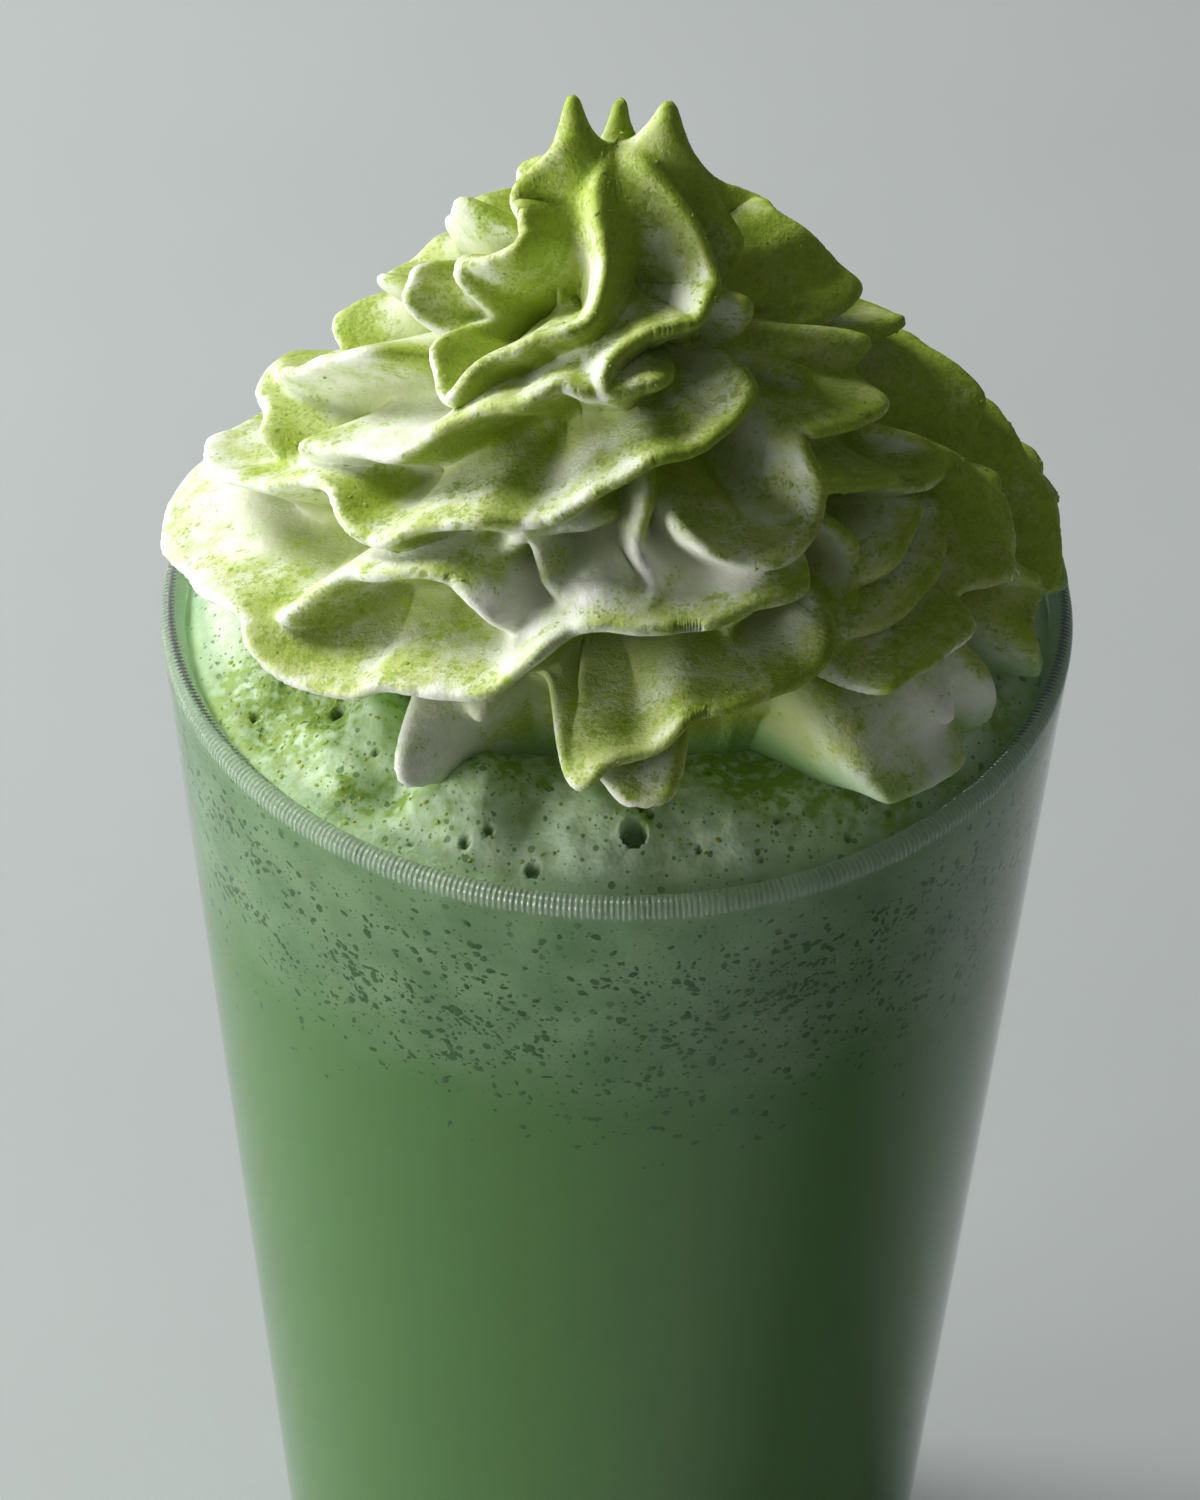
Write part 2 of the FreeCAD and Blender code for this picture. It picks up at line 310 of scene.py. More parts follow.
def grid_faces(rows, columns):
    """Quads of a grid of rows, each closed round, with the first row lowest or outermost."""
    row, column = np.meshgrid(np.arange(rows - 1), np.arange(columns), indexing="ij")
    beside = (column + 1) % columns
    corners = (row * columns + column, row * columns + beside, (row + 1) * columns + beside,
               (row + 1) * columns + column)
    return np.stack(corners, axis=-1).reshape(-1, 4).tolist()


# The froth's top climbs from the wall to the cream, with lumps, soft hollows and burst bubbles.
azimuth, radius = np.meshgrid(
    column_azimuths(FROTH_COLUMNS),
    np.concatenate([np.linspace(inner_radius(FROTH_EDGE) + WETTING, FINE_OUT_FROM, TOP_ROWS),
                    np.linspace(24, 2, 5) * MM]))
x, y = around(azimuth, radius)
inward = np.clip((inner_radius(FROTH_EDGE) - radius) / (inner_radius(FROTH_EDGE) - CREAM_FOOT), 0, 1)
top = FROTH_EDGE + (FROTH_SEAT - FROTH_EDGE) * np.sin(inward * math.pi / 2)
loose = np.clip(inward * 4, 0, 1)
top += loose * LUMP * turbulence(x, y, top * 0, 7 * MM, 1)
top += loose * FINE_LUMP * LUMP * turbulence(x, y, top * 0, 2.2 * MM, 2)
# Powder stains it all over, more beside the cream, in drifts and specks.
stain = 0.22 + 0.4 * smoothstep(-radius, -38 * MM, -33 * MM)
stain += 0.35 * turbulence(x, y, top * 0, 6 * MM, 3) + 0.2 * turbulence(x, y, top * 0, 2 * MM, 7)
# A share for the painted shade that darkens the big pits.
pit_shade = np.zeros(x.shape)
for place, out, width, depth in HOLLOWS:
    px, py = around(math.radians(place), out * MM)
    apart = np.hypot(x - px, y - py) / (width * MM)
    top -= loose * depth * MM * np.exp(-apart ** 2)
for place, out, width, strength in STAINS:
    px, py = around(math.radians(place), out * MM)
    apart = np.hypot(x - px, y - py) / (width * MM)
    stain += strength * np.exp(-apart ** 2)
unpitted = top.copy()    # a pit is as round on a slope as on the level, so it is measured along this
for place, out, size in BIG_PITS:
    px, py = around(math.radians(place), out * MM)
    level = unpitted - unpitted.flat[np.hypot(x - px, y - py).argmin()]
    apart = np.sqrt((x - px) ** 2 + (y - py) ** 2 + level ** 2) / (size * MM)
    top -= size * MM * PIT_DEPTH * np.sqrt(np.clip(1 - apart ** 2, 0, 1))
    top += PIT_LIP * np.exp(-((apart - 1.1) / 0.15) ** 2)
    pit_shade = np.maximum(pit_shade, smoothstep(-apart, -1.05, -0.75))
# The same froth goes on down the wall, to a flat foot on the drink.
wall_height = FROTH_BASE + (top[0] - FROTH_BASE) * np.linspace(0, 1, WALL_ROWS, endpoint=False)[:, None]
wall_radius = FOOT_RADIUS + FLARE * wall_height - WALL * math.hypot(1.0, FLARE) + WETTING
wall_x, wall_y = around(azimuth[:1], wall_radius)
verts = np.concatenate([
    np.stack([wall_x, wall_y, wall_height], -1).reshape(-1, 3), np.stack([x, y, top], -1).reshape(-1, 3)])
faces = grid_faces(WALL_ROWS + len(top), FROTH_COLUMNS)
faces.append(list(range(FROTH_COLUMNS - 1, -1, -1)))
last_row = (WALL_ROWS + len(top) - 1) * FROTH_COLUMNS
faces.append(list(range(last_row, last_row + FROTH_COLUMNS)))
froth = mesh_piece("mint_froth", verts.tolist(), faces)


def set_share(piece, name, values):
    """Keep a share for each vertex of a piece, for its material or for what is strewn on it."""
    held = piece.data.attributes.new(name, "FLOAT", "POINT")
    held.data.foreach_set("value", np.clip(values, 0, 1.5).astype(np.float32))


def bell(values, middle, width):
    return np.exp(-((values - middle) / width) ** 2)


FLECKS_BEGIN = (3.0, 9)     # mm under the rim over which the flecks begin
FLECKS_MOST = (18, 8)       # mm under the rim where most of them hang, and how wide that band is
FLECKS_END = (-37, -26)     # mm over which they end, counted up from the rim


def fleck_share(spots):
    """How thickly flecks hang at places on the glass, in a band under the rim and in drifts."""
    below_rim = (GLASS_HEIGHT - spots[:, 2]) / MM
    band = smoothstep(below_rim, *FLECKS_BEGIN) * (0.3 + 0.7 * bell(below_rim, *FLECKS_MOST))
    band = band * smoothstep(-below_rim, *FLECKS_END)
    drifts = turbulence(spots[:, 0], spots[:, 1], spots[:, 2] * 1.6, 9 * MM, 4)
    return band * np.clip(0.6 + 1.2 * drifts, 0.06, 1.5)


# Shares that the strewing and the materials read. Flecks hang at the wall, and the stains and the painted
# shade of the pits are on the top.
on_wall = np.arange(len(verts)) < WALL_ROWS * FROTH_COLUMNS
set_share(froth, "flecks", np.where(on_wall, fleck_share(verts), 0))
sunk = np.array([vertex.co for vertex in milkshake.data.vertices])
off_axis = np.hypot(sunk[:, 0], sunk[:, 1]) > MM
set_share(milkshake, "flecks", np.where(off_axis, fleck_share(sunk), 0))
wall = np.zeros(WALL_ROWS * FROTH_COLUMNS)
set_share(froth, "stain", np.concatenate([wall, stain.ravel()]))
set_share(froth, "pit_shade", np.concatenate([wall, pit_shade.ravel()]))
set_share(froth, "aired", np.concatenate([wall, loose.ravel()]))

# Milk foam: a mass of fine bubbles, matt and pale, green where powder stains it, with painted shade in every pit.
foam, tree, shader = new_material("blended_milk_foam")
coords, share, colour = mint_colour(tree)
mottle = rescale(tree, clouds(tree, coords, 1.2 * MM, 4.0), 0.35, 0.7, 0.1, 1.3)
film = calc(tree, "MULTIPLY", kept_share(tree, "stain"), mottle)
fine = rescale(tree, clouds(tree, coords, 0.6 * MM, 5.0, 0.7), 0.35, 0.65)
dry = mix(tree, fine, linear("#BBDAAD"), linear("#DFEED6"))
colour = mix(tree, kept_share(tree, "aired"), colour, dry)
colour = mix(tree, film, colour, linear("#8AA845"))
# Painted shade in the big pits.
colour = mix(tree, calc(tree, "MULTIPLY", kept_share(tree, "pit_shade"), 0.85), colour, linear("#3F6E2E"))
SMALL_PITS = [(1.5, 0.26, 1.0), (0.7, 0.3, 0.6)]   # mm apart, largest radius as a share of that, depth
heights = []
for size, reach, depth in SMALL_PITS:
    cells = add(tree, "ShaderNodeTexVoronoi", None, {"Vector": coords, "Scale": 1 / (size * MM)}).outputs
    chance = add(tree, "ShaderNodeSeparateColor", None, {0: cells["Color"]}).outputs[0]
    burst = rescale(tree, chance, 0.35, 0.95, 0.0, reach)
    pit = calc(tree, "MULTIPLY", calc(tree, "LESS_THAN", cells["Distance"], burst), share)
    # Painted shade in each small pit, whose dent is the bump below.
    colour = mix(tree, calc(tree, "MULTIPLY", pit, 0.7), colour, linear("#4A7A3E"))
    heights.append(calc(tree, "MULTIPLY", pit, -depth))
bubbles = add(tree, "ShaderNodeTexVoronoi", {"feature": "SMOOTH_F1"}, {
    "Vector": coords, "Scale": 1 / (0.45 * MM)})
heights.append(calc(tree, "MULTIPLY", bubbles.outputs[0], -0.5))
relief = calc(tree, "ADD", calc(tree, "ADD", heights[0], heights[1]), heights[2])
pores = add(tree, "ShaderNodeBump", None, {"Strength": 0.6, "Distance": 0.2 * MM, "Height": relief})
tree.links.new(colour, shader.inputs["Base Color"])
tree.links.new(pores.outputs[0], shader.inputs["Normal"])
set_inputs(shader, MILKY)
froth.data.materials.append(foam)
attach(froth, "root")
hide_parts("froth")

# The flecks and the powder are strewn by one tree: points on a piece where an attribute allows, and on each of them
# a small faceted grain, turned at random, mostly small and seldom large, and pressed flat by a share.
strewing = bpy.data.node_groups.new("strewn_grains", "GeometryNodeTree")
GRAIN_INPUTS = [("Ground", "Geometry"), ("Where", "String"), ("Density", "Float"), ("Smallest", "Float"),
                ("Largest", "Float"), ("Flatness", "Float"), ("Seed", "Int"), ("Material", "Material")]
for name, kind in GRAIN_INPUTS:
    strewing.interface.new_socket(name, in_out="INPUT", socket_type="NodeSocket" + kind)
strewing.interface.new_socket("Grains", in_out="OUTPUT", socket_type="NodeSocketGeometry")
given = add(strewing, "NodeGroupInput").outputs
allowed = add(strewing, "GeometryNodeInputNamedAttribute", {"data_type": "FLOAT"}, {"Name": given["Where"]})
density = calc(strewing, "MULTIPLY", given["Density"], allowed.outputs[0])
points = add(strewing, "GeometryNodeDistributePointsOnFaces", None, {
    "Mesh": given["Ground"], "Density": density, "Seed": given["Seed"]})
chance = add(strewing, "FunctionNodeRandomValue", {"data_type": "FLOAT"}, {"Seed": given["Seed"]})
few_large = calc(strewing, "POWER", chance.outputs[1], 4.0)
size = rescale(strewing, few_large, 0.0, 1.0, given["Smallest"], given["Largest"])
shape = add(strewing, "FunctionNodeRandomValue", {"data_type": "FLOAT_VECTOR"}, {
    0: (0.7, 0.45, 0.4), 1: (1.3, 0.9, 0.8), "Seed": 7})
pressed = add(strewing, "ShaderNodeCombineXYZ", None, {0: 1.0, 1: 1.0, 2: given["Flatness"]})
shape = add(strewing, "ShaderNodeVectorMath", {"operation": "MULTIPLY"}, {
    0: shape.outputs[0], 1: pressed.outputs[0]})
scale = add(strewing, "ShaderNodeVectorMath", {"operation": "SCALE"}, {0: shape.outputs[0], "Scale": size})
spin = add(strewing, "FunctionNodeRandomValue", {"data_type": "FLOAT_VECTOR"}, {
    0: (-0.3, -0.3, 0.0), 1: (0.3, 0.3, 6.28), "Seed": 11})
spun = add(strewing, "FunctionNodeRotateRotation", {"rotation_space": "LOCAL"}, {
    0: points.outputs["Rotation"], 1: spin.outputs[0]})
grain = add(strewing, "GeometryNodeMeshIcoSphere", None, {"Radius": 0.5, "Subdivisions": 1})
placed = add(strewing, "GeometryNodeInstanceOnPoints", None, {
    "Points": points.outputs["Points"], "Instance": grain.outputs[0], "Rotation": spun.outputs[0],
    "Scale": scale.outputs[0]})
real = add(strewing, "GeometryNodeRealizeInstances", None, {0: placed.outputs[0]})
dressed = add(strewing, "GeometryNodeSetMaterial", None, {
    "Geometry": real.outputs[0], "Material": given["Material"]})
add(strewing, "NodeGroupOutput", None, {"Grains": dressed.outputs[0]})
PER_CM2 = 1e4   # the tree counts to the square metre


def strew(name, ground, where, density, smallest, largest, flatness, seed, material):
    """A piece of grains strewn on another piece where its attribute allows, sizes in mm, density to the cm2."""
    grains = bpy.data.objects.new(name, ground.data.copy())
    bpy.context.scene.collection.objects.link(grains)
    strewer = grains.modifiers.new("strewn_grains", "NODES")
    strewer.node_group = strewing
    values = {"Where": where, "Density": density * PER_CM2, "Smallest": smallest * MM, "Largest": largest * MM,
              "Flatness": flatness, "Seed": seed, "Material": material}
    for item in strewing.interface.items_tree:
        if item.name in values:
            strewer[item.identifier] = values[item.name]
    made = bpy.data.meshes.new_from_object(grains.evaluated_get(bpy.context.evaluated_depsgraph_get()))
    grains.modifiers.clear()
    grains.data = made
    made.name = name
    return grains


# Chopped mint leaf: dark, moist and matt, tinted a little lighter and darker from fleck to fleck.
leaf = tinted("chopped_mint_leaf", 1.5 * MM, 2.0, "#1F5816", "#4F8A2B", 0.7)
FLECKS = {"where": "flecks", "density": 400.0, "smallest": 0.15, "largest": 1.25, "flatness": 0.3}
froth_flecks = strew("froth_flecks", froth, seed=5, material=leaf, **FLECKS)
drink_flecks = strew("drink_flecks", milkshake, seed=6, material=leaf, **FLECKS)
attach(drink_flecks, "root")

# Ground green powder: bright dry grains without any shine, deeper in colour where they clot.
ground_mint = tinted("ground_mint_powder", 1.0 * MM, 2.0, "#7E9A2C", "#B3C35A", 0.95)
froth_powder = strew("froth_powder", froth, where="stain", density=110.0, smallest=0.15, largest=0.7,
                     flatness=0.7, seed=9, material=ground_mint)
for piece in (froth_flecks, froth_powder):
    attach(piece, "root")


# ---- Whipped cream -------------------------------------------------------------------------
# Stiff whipped cream piped in one climbing rope through a large star nozzle, and pulled up to three peaks.
# Each tooth of the nozzle leaves a ridge, and the ridges ruffle, fold over and run together as the rope settles.
FURROW_DEPTH = 15.0 * MM
FURROW_LIFT = 7.0 * MM      # a furrow runs up behind the lip over it by this much
LIP_ROUND = 0.35 * MM       # a lip is rounded over this much
WAVER = 0.6 * MM            # a ridge wavers up and down by up to this much, every so far
WAVER_LENGTH = 6 * MM
SWELLS = (1.6, 0.7)         # mm by which the cream swells and sinks broadly, and more finely
FATNESS = 0.42 * MM         # the cream swells by this much all over, which rounds its lips and closes its creases
CREAM_COLUMNS = 560
TRACE_ROWS = 360            # rows on which the ridges are worked out
CREAM_ROWS = 300            # rows of the finished mesh, evenly spaced over ridge and furrow
CREAM_SMOOTHING = 6         # times that the spacing of the rows is evened out round the cream
CREAM_TRIANGLES = 190000
BACK_INSET = 0.07           # the cream is narrower at the back by this share
CREAM_OUTLINE = [           # round the crests of the ridges: radius from the axis and height over the rim, in mm
    (25.0, -2.5), (35.0, -2.0), (40.0, -1.2), (41.8, 2.5), (43.0, 8.0), (41.8, 14.0), (38.2, 20.0), (33.8, 26.0),
    (29.2, 32.0), (24.6, 38.0), (20.8, 42.0), (17.4, 45.0), (13.6, 48.0), (9.4, 50.6),
    (6.2, 52.2), (3.0, 53.0), (0.0, 53.3)]
LEAN = (-0.8, -3.2)         # how far the top of the cream leans to the right and to the back, in mm
# Each kind of ridge by how many mm over it and under it the furrow is nearly two thirds open, and the share of the
# furrow's depth by which the ridge stands out.
HANGING = (3.1, 1.2, 1.0)   # a lip that overhangs what is under it
PLEAT = (2.3, 1.7, 1.0)     # a fold that stands straight out
FIN = (1.2, 0.9, 0.6)       # a thin blade between two lips
RIB = (1.5, 1.1, 0.8)       # a shallow mark of one tooth of the nozzle
BULGE = (5.0, 4.5, 1.0)     # a broad smooth face
KNOB = (3.0, 2.6, 0.45)     # a low lump deep in a furrow
SPUR = (3.4, 2.6, 0.85)     # cream that hangs down on to the froth
# The ridges on the front, each with its kind and its places by azimuth in degrees and height over the rim in mm.
FOLDS = [
    (HANGING, [(-106, 8), (-90, 9), (-78, 10.4), (-67, 13.4), (-59, 15), (-53, 13.7), (-45, 13.5), (-37, 15.2),
               (-33, 17), (-25, 17.6), (-18, 19), (-13, 21.8), (-5, 25.2), (5, 25), (18, 25.3), (30, 26), (38, 28)]),
    (PLEAT, [(-58, 15.5), (-52, 17.5), (-46, 22.7), (-40, 24.8), (-29, 26.6), (-22, 25.3), (-17, 23.4), (-12, 22.6)]),
    (HANGING, [(-98, 18), (-82, 19), (-70, 23.4), (-58, 27.2), (-47, 26.6), (-40, 27), (-32, 30.2), (-14, 32.6),
               (-4, 35.6), (4, 36.9), (14, 38.3), (26, 39.2), (35, 40.6), (41, 42.5), (49, 44)]),
    (HANGING, [(-70, 24.5), (-66, 28.3), (-56, 31.2), (-46, 33.8), (-34, 38.8), (-23, 41.2), (-14, 42.8), (-4, 42.2),
               (6, 41)]),
    (PLEAT, [(-99, 23.9), (-92, 26.7), (-85, 29.2), (-77, 34), (-68, 37.8), (-58, 40.4)]),
    (PLEAT, [(-99, 23.9), (-92, 25), (-84, 26), (-76, 25.6), (-68, 24.8)]),
    (HANGING, [(-60, 54), (-30, 53.4), (-12, 52), (-5, 50.4), (-7, 48), (-14, 46.4), (-26, 45), (-37, 42.6),
               (-41, 39.4), (-48, 40.6), (-56, 42.6), (-58, 45)]),
    (PLEAT, [(-66, 54), (-80, 52.8), (-76, 51), (-62, 50.6), (-52, 49.6), (-58, 48.2), (-68, 46.8), (-84, 46.4)]),
    (PLEAT, [(-84, 46.4), (-72, 46.4), (-60, 45.8), (-52, 44.6)]),
    (PLEAT, [(-88, 46.4), (-84, 44.7), (-76, 42.9), (-66, 42.2), (-56, 42.4)]),
    (HANGING, [(10, 54.6), (24, 54.2), (38, 53.4), (47, 52), (48, 50), (42, 48.2), (32, 46.8), (18, 46.2), (5, 45.6),
               (-2, 44.2), (-2, 42.9), (6, 42.6), (16, 43.4), (25, 45)]),
    (PLEAT, [(72, 54), (76, 52.4), (74, 50.4), (66, 48.6), (57, 47.4), (50, 46.8)]),
    (HANGING, [(40, 49), (48, 46.6), (50, 44.8), (44, 43.2)]),
    (PLEAT, [(6, 33), (12, 31.8), (20, 29.4), (28, 28.8), (36, 29.8), (40, 32.6), (42, 35.8), (48, 36.2), (56, 35),
             (66, 34.6), (76, 36)]),
    (FIN, [(-25, 26.6), (-18, 30.2), (-14, 28.2), (-11, 26.8), (-3, 26.8), (4, 26.4), (6.5, 27.4), (4, 30), (6, 33),
           (10, 37.5)]),
    (FIN, [(-30, 29.5), (-20, 31), (-8, 31.2), (3, 31.6)]),
    (RIB, [(38, 30), (43, 27.4), (44.5, 24.6), (43, 22.6)]),
    (PLEAT, [(62, 33.5), (70, 29), (73, 24.5), (70, 20.5), (65, 18), (57, 17.3)]),
    (HANGING, [(62, 17.6), (54, 16.6), (49, 16.8), (42, 17), (36, 16), (31, 14)]),
    (BULGE, [(46, 14), (48, 9), (49, 4)]),
    (PLEAT, [(54, 16), (55, 11), (56, 5), (56, 0)]),
    (BULGE, [(30, 7), (38, 4.5), (48, 3), (58, 4)]),
    (PLEAT, [(92, 23), (87, 18.5), (82, 14), (77, 9)]),
    (PLEAT, [(74, 42), (73, 38), (67, 35)]),
    (PLEAT, [(-11, 14.5), (-8, 13.4), (-5, 12.6), (-1, 14.6), (5, 16), (10, 18.4), (20, 18.8), (27, 19.2), (32, 20.4),
             (35, 22.6), (34, 25)]),
    (PLEAT, [(-6, 12.6), (-1, 11.2), (6, 11.4), (13, 14.5)]),
    (FIN, [(28, 26), (24, 25), (20.5, 23), (19, 20.6)]),
    (RIB, [(52, 42), (58, 39), (56, 36)]),
    (SPUR, [(-33, 12), (-30, 7.5), (-28, 3.5), (-27, 0.5)]),
    (KNOB, [(-27, 8.5), (-21, 8), (-16, 8.5)]),
    (HANGING, [(34, 30.2), (41, 31.9), (49, 31), (56, 29.2), (63, 27.2), (70, 27), (76, 29)]),
    (HANGING, [(104, 24), (94, 22.5), (87, 20), (86, 16.6), (82, 13), (77, 10), (70, 11.2)]),
    (PLEAT, [(85, 22.6), (76, 22.2), (72, 19.9), (69, 17.6), (62, 16.3)]),
    (PLEAT, [(63, 18.2), (67, 16.9), (71, 13.5), (67, 9), (70, 4), (82, 2)]),
    (RIB, [(73, 25), (64, 23), (56, 21.4), (48, 20.8), (39, 20.2), (34, 18.4)]),
    (RIB, [(68, 26.5), (59, 25.2), (53, 24.8), (46, 23.4), (40, 22.4)]),
    (BULGE, [(78, 6), (90, 5), (104, 6)]),
]
# Round the back the ridges follow a rule: they climb evenly, and ruffle up and down.
RIDGE_START = 7             # mm over the rim at which one of them leaves the front, at RIDGE_FROM degrees
RIDGE_FROM = 65
RIDGE_RISE = 0.125          # mm that such a ridge climbs in each degree
RIDGE_SPACING = 7.4         # mm from one ridge up to the next
RIDGE_RUFFLES = 9           # ruffles in a whole turn
RUFFLE_SHIFT = 130          # degrees of a ruffle by which each ridge is out of step with the one under it
RUFFLE = 1.9                # mm that a ruffle carries a ridge up and down
RIDGE_TOP = 51              # mm over the rim above which there are none
PEAKS = [                   # x and y from the axis, height over the dome, width, all in mm
    (-4.9, -2.0, 8.6, 1.5), (3.9, -2.4, 9.6, 2.5), (-0.5, 1.6, 12.5, 1.3)]

for ridge in range(-4, 5):
    course = []
    for place in range(84, 276, 6):
        height = RIDGE_START + RIDGE_RISE * (place - RIDGE_FROM) + RIDGE_SPACING * ridge
        if 0 < height < RIDGE_TOP:
            turn = place * RIDGE_RUFFLES + ridge * RUFFLE_SHIFT
            course.append((place, height + RUFFLE * math.sin(math.radians(turn))))
    if len(course) > 3:
        FOLDS.append((HANGING, course))


def smooth_line(points, steps):
    """Places along a smooth line that passes through all its points, a number of steps apart."""
    points = np.array(points, float)
    padded = np.concatenate([[2 * points[0] - points[1]], points, [2 * points[-1] - points[-2]]])
    line = []
    for before, start, end, after in zip(padded, padded[1:], padded[2:], padded[3:]):
        for t in np.linspace(0, 1, steps, endpoint=False):
            line.append(0.5 * (2 * start + (end - before) * t + (2 * before - 5 * start + 4 * end - after) * t ** 2
                               + (3 * start - before - 3 * end + after) * t ** 3))
    return np.array(line + [points[-1]])


# The dome that the crests reach, as rows and columns of places, with the directions out of it and up along it.
outline = smooth_line(CREAM_OUTLINE, 20) * MM
outline[:, 1] += GLASS_HEIGHT
along = np.concatenate([[0], np.cumsum(np.hypot(*np.diff(outline, axis=0).T))])
outline_radii = np.interp(np.linspace(0, along[-1], TRACE_ROWS + 1)[:-1], along, outline[:, 0])
outline_heights = np.interp(np.linspace(0, along[-1], TRACE_ROWS + 1)[:-1], along, outline[:, 1])
azimuth, radius = np.meshgrid(column_azimuths(CREAM_COLUMNS), outline_radii)
radius = radius * (1 - BACK_INSET * smoothstep(-np.cos(azimuth), -0.1, 0.5))
height = np.repeat(outline_heights[:, None], CREAM_COLUMNS, 1)
x, y = around(azimuth, radius)
dome = np.stack([x, y, height], -1)
rise, run = np.gradient(outline_heights), np.gradient(outline_radii)
length = np.hypot(rise, run)
out, up = (rise / length)[:, None], (-run / length)[:, None]
uphill = np.stack([-np.sin(azimuth) * up, np.cos(azimuth) * up, np.broadcast_to(out, x.shape)], -1)

# How open the furrow is at each place: shut on a ridge's crest, and open where every ridge is far away.
REACH_UP = 15 * MM          # no ridge is felt further off than this, up or across
REACH_ACROSS = 19 * MM
FADE_IN = (-1.5 * MM, 6 * MM)   # a ridge rises out of the cream over this much of each of its ends
open_share = np.ones(height.shape)
for (spread_over, spread_under, stand), course in FOLDS:
    line = smooth_line(course, 10)
    line_height = GLASS_HEIGHT + line[:, 1] * MM
    waver = turbulence(line[:, 0] * 0.6 * MM, line_height, line_height * 0, WAVER_LENGTH, len(course))
    line_height += WAVER * waver
    line_x, line_y = around(np.radians(line[:, 0]), np.interp(line_height, outline[:, 1], outline[:, 0]))
    line = np.stack([line_x, line_y, line_height], -1)
    reached = np.concatenate([[0], np.cumsum(np.linalg.norm(np.diff(line, axis=0), axis=1))])
    nearest = np.full(height.shape, 1.0)
    end_apart = np.zeros(height.shape)
    above = np.zeros(height.shape)
    for start in range(0, len(line) - 1, 5):
        part = line[start:start + 6]
        middle = part.mean(0)
        rows = np.abs(outline_heights - middle[2]) < REACH_UP
        near = rows[:, None] & (np.hypot(x - middle[0], y - middle[1]) < REACH_ACROSS)
        spots = dome[near]
        uphill_here = uphill[near]
        best, best_above, best_place = nearest[near], above[near], end_apart[near]
        for step in range(len(part) - 1):
            a, b = part[step], part[step + 1]
            t = np.clip(((spots - a) @ (b - a)) / max((b - a) @ (b - a), 1e-12), 0, 1)
            offset = spots - a - t[:, None] * (b - a)
            apart = np.linalg.norm(offset, axis=1)
            closer = apart < best
            place = reached[start + step] + t * (reached[start + step + 1] - reached[start + step])
            best_above = np.where(closer, (offset * uphill_here).sum(1) / np.maximum(apart, 1e-9), best_above)
            best_place = np.where(closer, np.minimum(place, reached[-1] - place), best_place)
            best = np.where(closer, apart, best)
        nearest[near], above[near], end_apart[near] = best, best_above, best_place
    apart = (np.sqrt(nearest ** 2 + LIP_ROUND ** 2) - LIP_ROUND) / MM
    spread = spread_under + (spread_over - spread_under) * (0.5 + 0.5 * above)
    open_share *= 1 - stand * smoothstep(end_apart, *FADE_IN) * np.exp(-apart / spread)

# The furrows go in and up under the lips, the cream swells and leans, and the peaks are pulled up.
foot_share = smoothstep(height, GLASS_HEIGHT + 2 * MM, GLASS_HEIGHT + 9 * MM)
top_share = smoothstep(-height, -outline_heights[-1] - 0.5 * MM, -GLASS_HEIGHT - 48 * MM)
furrow = open_share * (0.25 + 0.75 * top_share)
furrow[0] = 0
swell = turbulence(x, y, height, 12 * MM, 5) * SWELLS[0] * MM
swell = swell + turbulence(x, y, height, 4.5 * MM, 6) * SWELLS[1] * MM
inward = FURROW_DEPTH * furrow - swell * foot_share
level = 1 - foot_share
push_out, push_up = out * foot_share + level, up * foot_share
cream_radius = radius - inward * push_out
cream_height = height - inward * push_up + FURROW_LIFT * furrow * out * foot_share
cream_x, cream_y = around(azimuth, cream_radius)
leaning = smoothstep(height, GLASS_HEIGHT + 22 * MM, GLASS_HEIGHT + 50 * MM)
cream_x += LEAN[0] * MM * leaning
cream_y += LEAN[1] * MM * leaning
for peak_x, peak_y, tall, width in PEAKS:
    apart = np.hypot(cream_x - peak_x * MM, cream_y - peak_y * MM) / (width * MM)
    cream_height += tall * MM * np.exp(-(np.sqrt(apart ** 2 + 0.04) - 0.2))

# The rows are spaced evenly over ridge and furrow, the steps are smoothed out, and the cream swells all over.
cream_grid = np.stack([cream_x, cream_y, cream_height], -1)
step_lengths = np.linalg.norm(np.diff(cream_grid, axis=0), axis=-1)
travelled = np.concatenate([np.zeros((1, CREAM_COLUMNS)), np.cumsum(step_lengths, axis=0)])
travelled /= travelled[-1]
for _ in range(CREAM_SMOOTHING):
    travelled = (np.roll(travelled, 1, 1) + travelled + np.roll(travelled, -1, 1)) / 3
even = np.linspace(0, 1, CREAM_ROWS)
traced = np.concatenate([cream_grid, azimuth[..., None], height[..., None], furrow[..., None]], -1)
traced = np.stack([
    np.stack([np.interp(even, travelled[:, column], traced[:, column, part]) for part in range(6)], -1)
    for column in range(CREAM_COLUMNS)], 1)
cream_grid, azimuth, height, furrow = traced[..., :3], traced[..., 3], traced[..., 4], traced[..., 5]
cream_grid[1:-1] = (cream_grid[2:] + cream_grid[:-2] + 2 * cream_grid[1:-1]) / 4
cream_grid = (np.roll(cream_grid, 1, 1) + np.roll(cream_grid, -1, 1) + 2 * cream_grid) / 4
facing = np.cross(np.roll(cream_grid, -1, 1) - np.roll(cream_grid, 1, 1), np.gradient(cream_grid, axis=0))
facing /= np.maximum(np.linalg.norm(facing, axis=-1, keepdims=True), 1e-12)
cream_grid[1:] += FATNESS * facing[1:]

verts = cream_grid.reshape(-1, 3).tolist()
faces = grid_faces(CREAM_ROWS, CREAM_COLUMNS)
faces.append(list(range(CREAM_COLUMNS - 1, -1, -1)))
apex = len(verts)
verts.append((0.0, 0.0, float(cream_grid[-1, :, 2].mean())))
last_row = (CREAM_ROWS - 1) * CREAM_COLUMNS
faces += [(last_row + c, last_row + (c + 1) % CREAM_COLUMNS, apex) for c in range(CREAM_COLUMNS)]
cream = mesh_piece("piped_cream", verts, faces, sharp_from=180)
